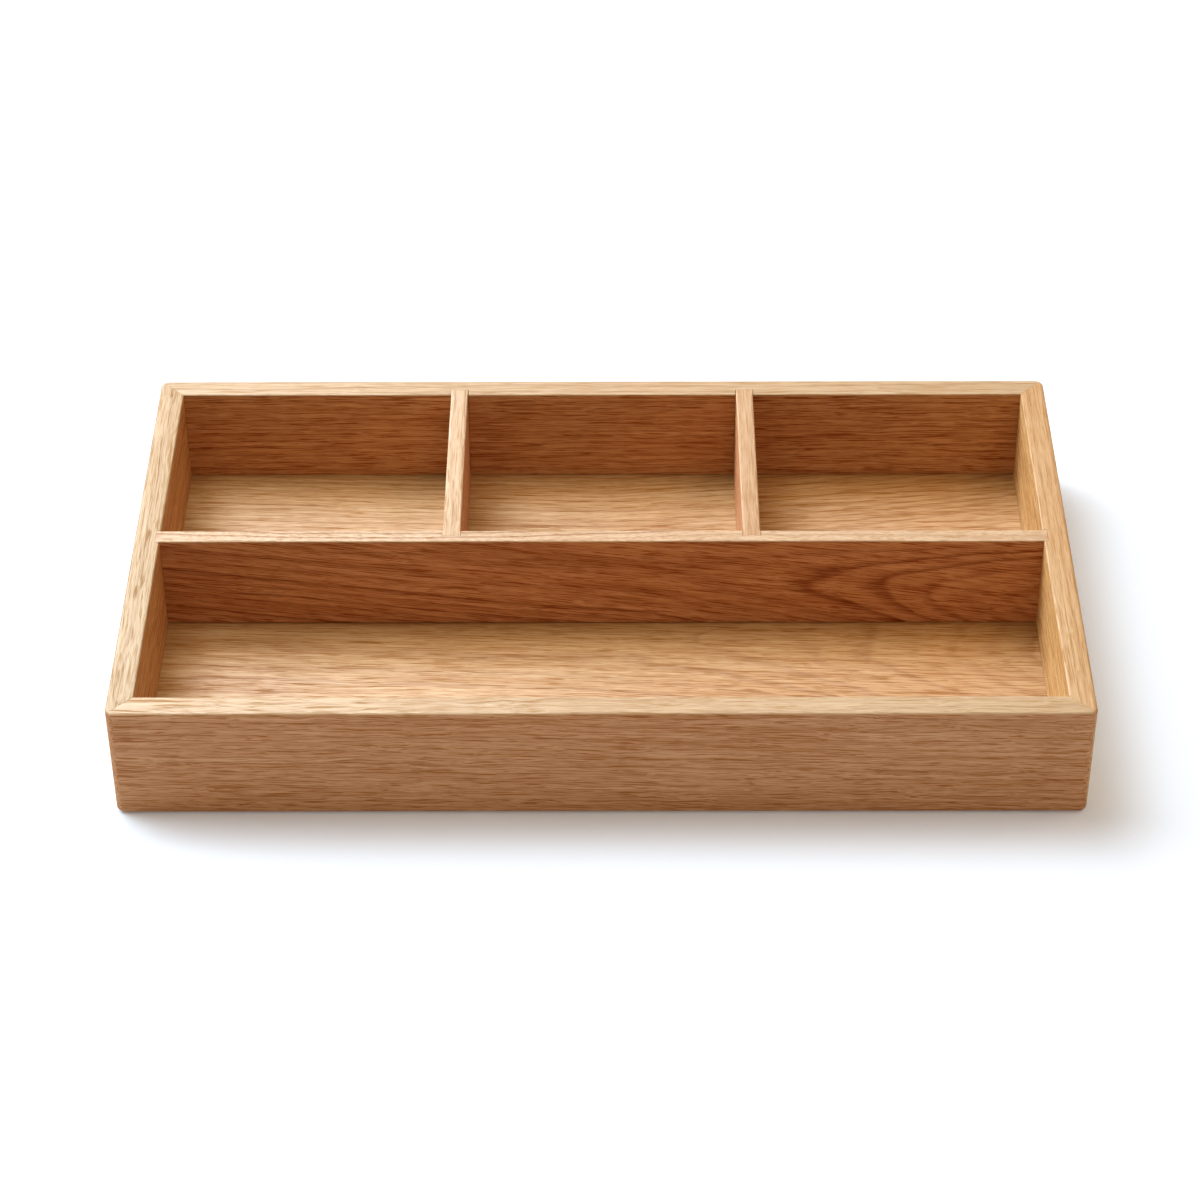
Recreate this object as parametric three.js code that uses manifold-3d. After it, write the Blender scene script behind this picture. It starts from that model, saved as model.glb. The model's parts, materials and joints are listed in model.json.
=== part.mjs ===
// A desk organizer tray in oak. Four mitred walls hold a base panel in a groove, and three dividers
// stand in housings: a long one across the tray, and two short ones from it to the back wall. They
// leave one long compartment in front and three equal ones behind it. A hidden tongue keys each mitre.
//
// Sizes are in millimetres. +X runs along the tray, +Y to its back and +Z up. The origin lies under
// the middle of the tray, on the surface that it stands on.

import * as THREE from 'three';
import { mergeVertices } from 'three/addons/utils/BufferGeometryUtils.js';
import Module from 'manifold-3d';

// Outer size
const LENGTH = 330;
const WIDTH = 189;
const HEIGHT = 45;

// Thickness of the boards
const WALL = 9;
const DIVIDER = 6.5;
const BASE = 4;

// Layout: the height of the compartments' floor, and the depth of the front compartment
const BASE_TOP = 7.4;
const FRONT_DEPTH = 83;

// Joints: the base panel's groove in the walls, and the housings that take the dividers' ends. The
// long divider's are in the side walls, the short ones' in the back wall and the long divider.
const GROOVE_DEPTH = 4;
const LONG_HOUSING = 1.5;
const SHORT_HOUSING = 3;
const GLUE_LINE = 0.1;
const PANEL_PLAY = 0.1;
const SWELLING_ROOM = 0.5;

// Loose tongues in the mitres: the wood left between a slot and the outer faces, and at its two ends
const TONGUE_THICKNESS = 3;
const TONGUE_WIDTH = 6;
const TONGUE_COVER = 2;
const TONGUE_STOP = 5;

// Eased edges: the upright corners, the outer edges at the rim and the foot, and the inner rim
const CORNER_RADIUS = 3;
const RIM_RADIUS = 1;
const FOOT_RADIUS = 2;
const INNER_RADIUS = 0.6;
const LEAST_RADIUS = 0.02;

// Steps in a quarter of a round edge, and how far a cut runs past the face that it opens
const CORNER_STEPS = 6;
const EDGE_STEPS = 4;
const CUT_PAST = 1;

const QUARTER = Math.PI / 2;
const innerLength = LENGTH - 2 * WALL;
const innerWidth = WIDTH - 2 * WALL;

// Y of the faces that bound the front and rear compartments
const frontWallFace = -innerWidth / 2;
const dividerFront = frontWallFace + FRONT_DEPTH;
const dividerBack = dividerFront + DIVIDER;
const backWallFace = innerWidth / 2;

// The short dividers split the space behind the long one into equal compartments
const shortNames = ['left_short_divider', 'right_short_divider'];
const rearCount = shortNames.length + 1;
const rearLength = (innerLength - shortNames.length * DIVIDER) / rearCount;
const rearCompartments = Array.from({ length: rearCount }, (_, index) => {
  const start = -innerLength / 2 + index * (rearLength + DIVIDER);
  return { x: [start, start + rearLength], y: [dividerBack, backWallFace] };
});
const frontCompartment = {
  x: [-innerLength / 2, innerLength / 2],
  y: [frontWallFace, dividerFront],
};

const wasm = await Module();
wasm.setup();

// A closed geometry as a solid that can be joined and cut
function solid(geometry) {
  geometry.deleteAttribute('normal');
  geometry.deleteAttribute('uv');
  const merged = mergeVertices(geometry);
  const vertProperties = merged.getAttribute('position').array;
  const triVerts = Uint32Array.from(merged.getIndex().array);
  return new wasm.Manifold(new wasm.Mesh({ numProp: 3, vertProperties, triVerts }));
}

// A solid's surface as a geometry
function surface(body) {
  const { vertProperties, triVerts } = body.getMesh();
  const geometry = new THREE.BufferGeometry();
  geometry.setAttribute('position', new THREE.BufferAttribute(vertProperties, 3));
  geometry.setIndex(new THREE.BufferAttribute(triVerts, 1));
  geometry.computeVertexNormals();
  return geometry;
}

// A box between two limits on each axis, grown sideways by a clearance
function box(x, y, z, clearance = 0) {
  const low = new THREE.Vector3(x[0] - clearance, y[0] - clearance, z[0]);
  const high = new THREE.Vector3(x[1] + clearance, y[1] + clearance, z[1]);
  const size = high.clone().sub(low);
  const middle = low.add(high).multiplyScalar(1 / 2);
  const geometry = new THREE.BoxGeometry(size.x, size.y, size.z);
  return solid(geometry.translate(middle.x, middle.y, middle.z));
}

// A solid through level outlines of equally many points, from the lowest up
function loft(outlines) {
  const count = outlines[0].length;
  const top = (outlines.length - 1) * count;
  const faces = [];
  for (let ring = 0; ring < top; ring += count) {
    for (let point = 0; point < count; point++) {
      const here = ring + point;
      const next = ring + (point + 1) % count;
      faces.push(here, next, next + count, here, next + count, here + count);
    }
  }
  for (let point = 1; point + 1 < count; point++) {
    faces.push(0, point + 1, point);
    faces.push(top, top + point, top + point + 1);
  }
  const geometry = new THREE.BufferGeometry().setFromPoints(outlines.flat());
  geometry.setIndex(faces);
  return solid(geometry);
}

// A level rectangle, counterclockwise from above, with its corners rounded or, with no steps, sharp
function rectangle(x, y, z, radius = 0, steps = 0) {
  const middles = [
    [x[1] - radius, y[1] - radius],
    [x[0] + radius, y[1] - radius],
    [x[0] + radius, y[0] + radius],
    [x[1] - radius, y[0] + radius],
  ];
  const points = [];
  middles.forEach(([middleX, middleY], corner) => {
    for (let step = 0; step <= steps; step++) {
      const angle = (corner + (steps ? step / steps : 0)) * QUARTER;
      const alongX = middleX + radius * Math.cos(angle);
      const alongY = middleY + radius * Math.sin(angle);
      points.push(new THREE.Vector3(alongX, alongY, z));
    }
  });
  return points;
}

// How far a quarter round has drawn in, and how far it has climbed, at each of its steps
function quarterRound(radius) {
  const angles = Array.from({ length: EDGE_STEPS + 1 }, (_, step) => (step / EDGE_STEPS) * QUARTER);
  return angles.map((angle) => ({
    inward: radius * (1 - Math.cos(angle)),
    upward: radius * Math.sin(angle),
  }));
}

// The tray's outer form as one block, with rounded corners and eased rim and foot
function outerBlock() {
  const outline = (inset, z) => {
    const x = [-LENGTH / 2 + inset, LENGTH / 2 - inset];
    const y = [-WIDTH / 2 + inset, WIDTH / 2 - inset];
    return rectangle(x, y, z, Math.max(CORNER_RADIUS - inset, LEAST_RADIUS), CORNER_STEPS);
  };
  const foot = quarterRound(FOOT_RADIUS).reverse();
  const rim = quarterRound(RIM_RADIUS);
  return loft([
    ...foot.map(({ inward, upward }) => outline(inward, FOOT_RADIUS - upward)),
    ...rim.map(({ inward, upward }) => outline(inward, HEIGHT - RIM_RADIUS + upward)),
  ]);
}

// The cut that eases the rim round a compartment
function rimCut({ x, y }) {
  const outline = (grown, z) => {
    return rectangle([x[0] - grown, x[1] + grown], [y[0] - grown, y[1] + grown], z);
  };
  const eased = quarterRound(INNER_RADIUS);
  return loft([
    ...eased.map(({ inward, upward }) => outline(inward, HEIGHT - INNER_RADIUS + upward)),
    outline(INNER_RADIUS, HEIGHT + CUT_PAST),
  ]);
}

// The room that a wall takes up between its two mitres, wide enough to reach past its outer face.
// Each mitre stands back by half a glue line.
function mitredRoom({ span, middle, turn }) {
  const outer = span / 2 + CUT_PAST - GLUE_LINE / Math.SQRT2;
  const inner = outer - CUT_PAST - WALL;
  const plan = new THREE.Shape();
  plan.moveTo(-outer, -CUT_PAST);
  plan.lineTo(outer, -CUT_PAST);
  plan.lineTo(inner, WALL);
  plan.lineTo(-inner, WALL);
  const geometry = new THREE.ExtrudeGeometry(plan, { depth: HEIGHT + 2 * CUT_PAST, bevelEnabled: false });
  geometry.translate(0, 0, -CUT_PAST).rotateZ(turn);
  return solid(geometry.translate(middle.x, middle.y, 0));
}

// A tongue in its own frame, with X across the mitre and rounded ends, grown by a clearance all round
function tongueForm(clearance) {
  const radius = TONGUE_THICKNESS / 2 + clearance;
  const low = BASE_TOP + PANEL_PLAY + TONGUE_STOP - clearance;
  const high = HEIGHT - TONGUE_STOP + clearance;
  const width = TONGUE_WIDTH + 2 * clearance;
  const section = new THREE.Shape();
  section.absarc(0, high - radius, radius, 0, Math.PI);
  section.absarc(0, low + radius, radius, Math.PI, 2 * Math.PI);
  const settings = { depth: width, bevelEnabled: false, curveSegments: 2 * EDGE_STEPS };
  const geometry = new THREE.ExtrudeGeometry(section, settings);
  const acrossMitre = new THREE.Matrix4().makeBasis(
    new THREE.Vector3(0, 1, 0),
    new THREE.Vector3(0, 0, 1),
    new THREE.Vector3(1, 0, 0),
  );
  return geometry.applyMatrix4(acrossMitre).translate(-width / 2, 0, 0);
}

// Where the tongues stand: as far in from both outer faces as their cover asks for
const tongueInset = TONGUE_COVER + GLUE_LINE + (TONGUE_WIDTH + TONGUE_THICKNESS) / 2 / Math.SQRT2;
const corners = [
  { name: 'front_left', x: -1, y: -1 },
  { name: 'front_right', x: 1, y: -1 },
  { name: 'back_left', x: -1, y: 1 },
  { name: 'back_right', x: 1, y: 1 },
].map(({ name, x, y }) => ({
  name,
  seat: new THREE.Vector3(x * (LENGTH / 2 - tongueInset), y * (WIDTH / 2 - tongueInset), 0),
  turn: (-x * y * Math.PI) / 4,
}));

const slots = corners.map(({ seat, turn }) => {
  return solid(tongueForm(GLUE_LINE).rotateZ(turn).translate(seat.x, seat.y, 0));
});

// The base panel lies in the groove with room to swell at its edges
const grooveReach = (inner) => [-inner / 2 - GROOVE_DEPTH, inner / 2 + GROOVE_DEPTH];
const grooveHeights = [BASE_TOP - BASE - PANEL_PLAY, BASE_TOP + PANEL_PLAY];
const groove = box(grooveReach(innerLength), grooveReach(innerWidth), grooveHeights);
const panelHeights = [BASE_TOP - BASE, BASE_TOP];
const panel = box(grooveReach(innerLength), grooveReach(innerWidth), panelHeights, -SWELLING_ROOM);

// Each divider's plan, with both ends running into their housings
const longPlan = {
  x: [-innerLength / 2 - LONG_HOUSING, innerLength / 2 + LONG_HOUSING],
  y: [dividerFront, dividerBack],
};
const shortPlans = rearCompartments.slice(1).map(({ x }) => ({
  x: [x[0] - DIVIDER, x[0]],
  y: [dividerBack - SHORT_HOUSING, backWallFace + SHORT_HOUSING],
}));

// A divider stands on the base panel. Its housing opens at the rim and runs down into the groove.
const dividerBoard = ({ x, y }) => box(x, y, [BASE_TOP + GLUE_LINE, HEIGHT]);
const housing = ({ x, y }) => box(x, y, [BASE_TOP, HEIGHT + CUT_PAST], GLUE_LINE);

const cutAll = (body, cuts) => cuts.reduce((rest, cut) => rest.subtract(cut), body);
const rimCuts = [frontCompartment, ...rearCompartments].map(rimCut);
const shortHousings = shortPlans.map(housing);

// A board's finish in oak, or in another wood's colour
function wood(color, roughness) {
  return new THREE.MeshStandardMaterial({ color, roughness, metalness: 0, flatShading: true });
}

// A named piece with its own origin and direction, placed where its solid was cut
function piece(name, body, material, seat, turn = 0) {
  const mesh = new THREE.Mesh(surface(body), material);
  mesh.name = name;
  mesh.position.copy(seat);
  mesh.rotation.z = turn;
  mesh.updateMatrix();
  mesh.geometry.applyMatrix4(mesh.matrix.clone().invert());
  return mesh;
}

// Four walls, each along its own X axis with its outer face at Y = 0
const walls = new THREE.Group();
const block = outerBlock();
[
  { name: 'front_wall', span: LENGTH, middle: new THREE.Vector3(0, -WIDTH / 2, 0), turn: 0 },
  { name: 'right_wall', span: WIDTH, middle: new THREE.Vector3(LENGTH / 2, 0, 0), turn: QUARTER },
  { name: 'back_wall', span: LENGTH, middle: new THREE.Vector3(0, WIDTH / 2, 0), turn: 2 * QUARTER },
  { name: 'left_wall', span: WIDTH, middle: new THREE.Vector3(-LENGTH / 2, 0, 0), turn: -QUARTER },
].forEach((side) => {
  const board = block.intersect(mitredRoom(side));
  const cuts = [groove, ...slots, ...rimCuts, housing(longPlan), ...shortHousings];
  walls.add(piece(side.name, cutAll(board, cuts), wood('#cda06c', 0.5), side.middle, side.turn));
});

// Four tongues, one across each mitre
const tongues = new THREE.Group();
corners.forEach(({ name, seat, turn }) => {
  const mesh = new THREE.Mesh(surface(solid(tongueForm(0))), wood('#d8bd92', 0.8));
  mesh.name = `${name}_tongue`;
  mesh.position.copy(seat);
  mesh.rotation.z = turn;
  tongues.add(mesh);
});

// Three dividers, each along its own X axis, standing on its own foot
const dividers = new THREE.Group();
const foot = ({ x, y }) => new THREE.Vector3((x[0] + x[1]) / 2, (y[0] + y[1]) / 2, BASE_TOP);
const longBody = cutAll(dividerBoard(longPlan), [...rimCuts, ...shortHousings]);
dividers.add(piece('long_divider', longBody, wood('#c7955d', 0.5), foot(longPlan)));
shortNames.forEach((name, index) => {
  const plan = shortPlans[index];
  const body = cutAll(dividerBoard(plan), rimCuts);
  dividers.add(piece(name, body, wood('#ca9a65', 0.5), foot(plan), QUARTER));
});

const tray = new THREE.Group();
const basePanel = piece('base_panel', panel, wood('#cfa272', 0.5), new THREE.Vector3(0, 0, BASE_TOP));
tray.add(walls, tongues, dividers, basePanel);

export default tray;
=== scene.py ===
# %% [markdown]
# # An oak desk tray, board by board
#
# The tray is a small piece of joinery. Four mitred walls hold a thin base panel in a groove, and three
# dividers stand in housings cut into the boards that they meet. This notebook loads the measured model
# as a fixed frame, makes each board again with softer edges and closer joints, and gives every board
# its own piece of an oak trunk.

# %% Load the frame and keep its box
import json
import math

import bpy
from mathutils import Matrix, Vector

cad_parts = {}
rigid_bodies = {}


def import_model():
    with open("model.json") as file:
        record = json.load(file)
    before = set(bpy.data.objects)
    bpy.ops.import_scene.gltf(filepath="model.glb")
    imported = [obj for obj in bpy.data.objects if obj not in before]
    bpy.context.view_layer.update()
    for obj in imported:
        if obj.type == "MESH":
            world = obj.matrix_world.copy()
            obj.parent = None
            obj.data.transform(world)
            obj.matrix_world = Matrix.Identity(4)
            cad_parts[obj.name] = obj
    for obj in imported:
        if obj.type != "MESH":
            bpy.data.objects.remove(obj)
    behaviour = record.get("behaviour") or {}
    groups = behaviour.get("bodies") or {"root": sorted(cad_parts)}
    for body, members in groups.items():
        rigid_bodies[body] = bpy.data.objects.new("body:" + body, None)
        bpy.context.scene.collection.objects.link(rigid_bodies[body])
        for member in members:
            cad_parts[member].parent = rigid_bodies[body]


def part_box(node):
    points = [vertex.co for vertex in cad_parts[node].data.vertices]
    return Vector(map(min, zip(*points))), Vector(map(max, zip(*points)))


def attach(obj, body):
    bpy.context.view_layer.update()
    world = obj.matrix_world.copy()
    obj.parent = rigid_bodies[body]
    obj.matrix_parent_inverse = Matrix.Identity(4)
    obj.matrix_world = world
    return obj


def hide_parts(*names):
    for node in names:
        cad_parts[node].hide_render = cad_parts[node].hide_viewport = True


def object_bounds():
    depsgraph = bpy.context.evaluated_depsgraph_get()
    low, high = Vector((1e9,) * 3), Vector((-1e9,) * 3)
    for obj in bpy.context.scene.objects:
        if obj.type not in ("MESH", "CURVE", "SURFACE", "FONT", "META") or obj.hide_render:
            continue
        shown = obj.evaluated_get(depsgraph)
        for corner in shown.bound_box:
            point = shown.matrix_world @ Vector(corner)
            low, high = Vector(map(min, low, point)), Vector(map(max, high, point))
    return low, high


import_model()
cad_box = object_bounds()
scene = bpy.context.scene
MM = 0.001
print("CAD box in mm:", [[round(v / MM, 2) for v in corner] for corner in cad_box])

# %% [markdown]
# ## Measures
#
# Every size that the frame knows is read from it, so the boards follow the model if it changes. What
# is left to choose here are the small radii and gaps that a joiner sets with a plane and sandpaper.

# %% Read the boards' sizes from the frame
tray_low, tray_high = (Vector(corner) for corner in cad_box)
LENGTH, WIDTH, HEIGHT = tray_high - tray_low
front_low, front_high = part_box("front_wall")
long_low, long_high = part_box("long_divider")
short_low, short_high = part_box("left_short_divider")
panel_low, panel_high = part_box("base_panel")
tongue_low, tongue_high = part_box("front_left_tongue")

WALL = front_high.y - front_low.y
DIVIDER = long_high.y - long_low.y
BASE_TOP = panel_high.z
INNER_LENGTH = LENGTH - 2 * WALL
INNER_WIDTH = WIDTH - 2 * WALL
LONG_HOUSING = (long_high.x - long_low.x - INNER_LENGTH) / 2
SHORT_HOUSING = short_high.y - INNER_WIDTH / 2
long_middle = (long_low + long_high) / 2
short_middle = (short_low + short_high) / 2
panel_middle = (panel_low + panel_high) / 2
tongue_middle = (tongue_low + tongue_high) / 2
print(f"walls {WALL / MM:.1f} mm, dividers {DIVIDER / MM:.1f} mm, base top at {BASE_TOP / MM:.1f} mm")

# %% [markdown]
# ## Camera
#
# The picture looks down on the tray from the front through a long lens, so the back is only a little
# narrower than the front. The place and the angles come from lining up the rim's four corners, the
# front wall's lower edge and the dividers with the photograph.

# %% Set the camera
PICTURE_PX = 1200
FOCAL_PX = 3359.6
CAMERA_PLACE = Vector((4.05, -930.16, 781.66)) * MM
PITCH, YAW, ROLL = (math.radians(angle) for angle in (39.451, -0.288, -0.258))

camera = bpy.data.objects.new("camera", bpy.data.cameras.new("camera"))
scene.collection.objects.link(camera)
camera.data.sensor_fit = "HORIZONTAL"
camera.data.lens = camera.data.sensor_width * FOCAL_PX / PICTURE_PX
look_down = Matrix.Rotation(math.pi / 2 - PITCH, 4, "X")
turn_left = Matrix.Rotation(-YAW, 4, "Z")
tip_over = Matrix.Rotation(ROLL, 4, "Z")
camera.matrix_world = Matrix.Translation(CAMERA_PLACE) @ turn_left @ look_down @ tip_over
scene.camera = camera
print(f"lens {camera.data.lens:.1f} mm on a {camera.data.sensor_width:.0f} mm sensor")

# %% [markdown]
# ## Helpers for nodes
#
# Everything that follows is made of nodes. One function adds a node, sets its properties and feeds its
# inputs. Colours are written as the hex values that a screen shows, and one function turns them into
# the linear values that a shader works with.

# %% Helpers
def feed(tree, node, inputs):
    """Feeds a node's inputs by name or number: a node or a socket is linked, any other value is set."""
    for key, value in inputs.items():
        if isinstance(key, int):
            socket = node.inputs[key]
        else:
            socket = next(s for s in node.inputs if s.enabled and s.name == key)
        if isinstance(value, bpy.types.Node):
            value = next(s for s in value.outputs if s.enabled)
        if isinstance(value, bpy.types.NodeSocket):
            tree.links.new(value, socket)
        else:
            socket.default_value = value


def add(tree, kind, inputs=None, **settings):
    """Adds a node with its settings and its inputs."""
    node = tree.nodes.new(kind)
    for name, value in settings.items():
        setattr(node, name, value)
    feed(tree, node, inputs or {})
    return node


def open_tree(name, kind, inputs, outputs):
    """A new node group with named inputs and outputs, and the sockets of its inputs."""
    tree = bpy.data.node_groups.new(name, kind)
    for in_out, sockets in (("INPUT", inputs), ("OUTPUT", outputs)):
        for socket_type, labels in sockets.items():
            for label in labels:
                tree.interface.new_socket(label, in_out=in_out, socket_type=socket_type)
    return tree, add(tree, "NodeGroupInput").outputs


def linear(hex_colour):
    """The linear colour of an sRGB hex value, with full alpha."""
    channels = [int(hex_colour[i:i + 2], 16) / 255 for i in (1, 3, 5)]
    return [c / 12.92 if c <= 0.04045 else ((c + 0.055) / 1.055) ** 2.4 for c in channels] + [1.0]


FLOAT, WHOLE, VECTOR = "NodeSocketFloat", "NodeSocketInt", "NodeSocketVector"
SHAPE, MATERIAL, COLOUR = "NodeSocketGeometry", "NodeSocketMaterial", "NodeSocketColor"
MATH, MIX, RANGE = "ShaderNodeMath", "ShaderNodeMix", "ShaderNodeMapRange"
JOIN, SPLIT, VECTOR_MATH = "ShaderNodeCombineXYZ", "ShaderNodeSeparateXYZ", "ShaderNodeVectorMath"
SET_PLACE, TURN = "GeometryNodeSetPosition", "FunctionNodeAxisAngleToRotation"
print("node helpers ready")

# %% [markdown]
# ## Studio
#
# The tray lies on a white sweep. A wide soft light hangs at the back on the left, so each board throws a
# soft shadow to the right and to the front that starts right at its foot. A second light on the left
# brings out the inner faces on the right. A weak one on the right keeps the shadows open. It has the
# warm colour of the room, which turns shaded wood redder. The sheen light stands for the bright wall
# that oiled wood mirrors towards the camera, so only gloss answers to it. One lamp could throw the same
# shadow, but then the pale sheen on the rims couldn't be set apart from it.

# %% Soft lights
ROOM_COLOUR = linear("#ffd6b4")


def softbox(name, place, width, height, watts, colour=(1, 1, 1)):
    """A soft light that looks at the middle of the tray."""
    lamp = bpy.data.lights.new(name, "AREA")
    lamp.shape = "RECTANGLE"
    lamp.size = width
    lamp.size_y = height
    lamp.energy = watts
    lamp.color = colour
    light = bpy.data.objects.new(name, lamp)
    turn = Vector(place).to_track_quat("Z", "Y").to_matrix().to_4x4()
    light.matrix_world = Matrix.Translation(place) @ turn
    scene.collection.objects.link(light)
    print(f"{name}: {watts} W from {place}")
    return light


softbox("key_light", (-0.54, 0.54, 1.63), 1.2, 1.1, 32.5)
softbox("side_light", (-1.50, 0.62, 0.86), 1.4, 0.6, 23.0)
softbox("fill_light", (0.90, 0.00, 1.56), 1.0, 1.0, 9.0, ROOM_COLOUR[:3])
sheen_light = softbox("sheen_light", (-0.82, 0.82, 1.38), 0.9, 0.9, 150.0)
sheen_light.visible_diffuse = False

# %% [markdown]
# ## Room and floor
#
# Near the horizon the room is bright, which lights the faces that stand upright and hardly reaches the
# flat ones. A white floor that is merely lit would turn grey, so for the camera a light of its own
# brings it up to white. Near the tray that light is weak, so the shadow stays, and further out it grows
# until floor and backdrop are one. The paper is a cool white, which keeps the shadow neutral in the
# warm room.

# %% Bright horizon
HORIZON_FILL = 1.0
HORIZON_TOP = 0.2
ZENITH_FILL = 0.31


def seen_by_eye(tree):
    """A node that is 1 for a ray from the camera, off a gloss or through glass, and 0 for other rays."""
    path = add(tree, "ShaderNodeLightPath").outputs
    seen = add(tree, MATH, {0: path["Is Camera Ray"], 1: path["Is Glossy Ray"]}, operation="MAXIMUM")
    return add(tree, MATH, {0: seen, 1: path["Is Transmission Ray"]}, operation="MAXIMUM")


scene.world = bpy.data.worlds.new("studio")
scene.world.use_nodes = True
sky = scene.world.node_tree
sky.nodes.clear()
height = add(sky, SPLIT, {0: add(sky, "ShaderNodeTexCoord").outputs["Generated"]}).outputs["Z"]
fill = add(sky, RANGE, {
    "Value": height, "From Min": 0.0, "From Max": HORIZON_TOP, "To Min": HORIZON_FILL,
    "To Max": ZENITH_FILL})
room = add(sky, "ShaderNodeBackground", {"Color": ROOM_COLOUR, "Strength": fill})
backdrop = add(sky, "ShaderNodeBackground", {"Color": (1, 1, 1, 1), "Strength": 1.0})
surround = add(sky, "ShaderNodeMixShader", {0: seen_by_eye(sky), 1: room, 2: backdrop})
add(sky, "ShaderNodeOutputWorld", {"Surface": surround})
scene.view_settings.view_transform = "Standard"
print(f"room fill {HORIZON_FILL} at the horizon, {ZENITH_FILL} overhead")

# %% White floor
FLOOR_SIZE = 12.0
FLOOR_GLOW = 0.12
GLOW_FROM, GLOW_TO = 0.45, 1.0
PAPER_WHITE = linear("#d8ecff")

# Matt paper gives the eye an even white without any gloss
paper = bpy.data.materials.new("matt white paper sweep")
paper.use_nodes = True
sheet = paper.node_tree
sheet.nodes.clear()
far = add(sheet, "ShaderNodeTexCoord").outputs["Object"]
far = add(sheet, VECTOR_MATH, {0: far}, operation="LENGTH").outputs["Value"]
glow = add(sheet, RANGE, {
    "Value": far, "From Min": GLOW_FROM, "From Max": GLOW_TO, "To Min": FLOOR_GLOW, "To Max": 1.0})
glow = add(sheet, MATH, {0: seen_by_eye(sheet), 1: glow}, operation="MULTIPLY")
matt = add(sheet, "ShaderNodeBsdfDiffuse", {"Color": PAPER_WHITE})
glow = add(sheet, "ShaderNodeEmission", {"Strength": glow})
white = add(sheet, "ShaderNodeAddShader", {0: matt, 1: glow})
add(sheet, "ShaderNodeOutputMaterial", {"Surface": white})

floor_mesh = bpy.data.meshes.new("floor")
floor_corners = [Vector((x, y, 0)) * FLOOR_SIZE / 2 for x, y in ((-1, -1), (1, -1), (1, 1), (-1, 1))]
floor_mesh.from_pydata(floor_corners, [], [(0, 1, 2, 3)])
floor_mesh.materials.append(paper)
floor = bpy.data.objects.new("floor", floor_mesh)
scene.collection.objects.link(floor)
print(f"floor {FLOOR_SIZE} m wide")

# %% [markdown]
# ## The mitred wall: its section
#
# The four walls are one board, cut to two lengths. On the bench a strip is planed to a section with
# eased edges, grooved for the base and mitred at both ends, and the glued corners are rounded over. A
# box with a bevel would round the mitres too. So the section is drawn as a curve with its own radius
# at each corner, and swept along the wall.

# %% Section of the wall
ARC_STEPS = 8

wall_tree, size = open_tree("mitred wall", "GeometryNodeTree", {
    FLOAT: ("Span", "Thickness", "Height", "Corner radius", "Rim radius", "Foot radius", "Inner radius",
            "Fine radius", "Mitre gap", "Slot inset", "Slot middle", "Housing spacing", "Turn"),
    VECTOR: ("Groove size", "Groove middle", "Slot size", "First housing", "Housing size", "Middle"),
    WHOLE: ("Housings",), MATERIAL: ("Oak",)}, {SHAPE: ("Board",)})


def rounded_section(tree, corners, radii):
    """A closed curve through four corners, each with its own radius. X is depth, Y is height."""
    points = [add(tree, JOIN, {"X": depth, "Y": height}) for depth, height in corners]
    outline = add(tree, "GeometryNodeCurvePrimitiveQuadrilateral", {
        f"Point {number}": point for number, point in enumerate(points, start=1)}, mode="POINTS")
    choice = add(tree, "GeometryNodeIndexSwitch", {
        "Index": add(tree, "GeometryNodeInputIndex")}, data_type="FLOAT")
    while len(choice.index_switch_items) < len(radii):
        choice.index_switch_items.new()
    feed(tree, choice, {str(corner): radius for corner, radius in enumerate(radii)})
    return add(tree, "GeometryNodeFilletCurve", {
        "Curve": outline, "Count": ARC_STEPS, "Radius": choice}, mode="POLY")


wall_section = rounded_section(
    wall_tree,
    [(0.0, 0.0), (size["Thickness"], 0.0), (size["Thickness"], size["Height"]), (0.0, size["Height"])],
    [size["Foot radius"], size["Fine radius"], size["Inner radius"], size["Rim radius"]])
print(f"section with {ARC_STEPS} steps in each round")

# %% [markdown]
# ## The mitred wall: sweep and bend
#
# The strip is swept along a straight line with a few stations on the straight and closer ones near the
# ends. Then every point is moved. Outside the corner's centre it follows the round corner, inside it
# runs to the mitre, and both ends come to lie in one plane at 45 degrees.

# %% Sweep along the wall
CORNER_STATIONS = 8
STRAIGHT_STATIONS = 16
EIGHTH_TURN = math.pi / 4


def sweep(tree, section, count, along):
    """Sweeps a section along X, with its depth along Y, through the given number of stations."""
    line = add(tree, "GeometryNodeResampleCurve", {
        "Curve": add(tree, "GeometryNodeCurvePrimitiveLine"), "Count": count})
    line = add(tree, SET_PLACE, {"Geometry": line, "Position": add(tree, JOIN, {"X": along})})
    line = add(tree, "GeometryNodeSetCurveNormal", {"Curve": line, "Normal": (0, 1, 0)}, mode="FREE")
    return add(tree, "GeometryNodeCurveToMesh", {
        "Curve": line, "Profile Curve": section, "Fill Caps": True})


half = add(wall_tree, MATH, {0: size["Span"], 1: 0.5}, operation="MULTIPLY")
straight = add(wall_tree, MATH, {0: half, 1: size["Corner radius"]}, operation="SUBTRACT")
bend = add(wall_tree, MATH, {0: size["Corner radius"], 1: EIGHTH_TURN}, operation="MULTIPLY")
reach = add(wall_tree, MATH, {0: straight, 1: bend}, operation="ADD")
both_straights = add(wall_tree, MATH, {0: straight, 1: 2.0}, operation="MULTIPLY")
along = add(wall_tree, MATH, {0: reach, 1: -1.0}, operation="MULTIPLY")
first = 0
corner = (CORNER_STATIONS, bend)
for steps, stretch in (corner, (STRAIGHT_STATIONS, both_straights), corner):
    travel = add(wall_tree, RANGE, {
        "Value": add(wall_tree, "GeometryNodeInputIndex"), "From Min": float(first),
        "From Max": float(first + steps), "To Min": 0.0, "To Max": stretch})
    along = add(wall_tree, MATH, {0: along, 1: travel}, operation="ADD")
    first += steps
strip = sweep(wall_tree, wall_section, first + 1, along)
print(f"{first + 1} stations along the wall")

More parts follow.
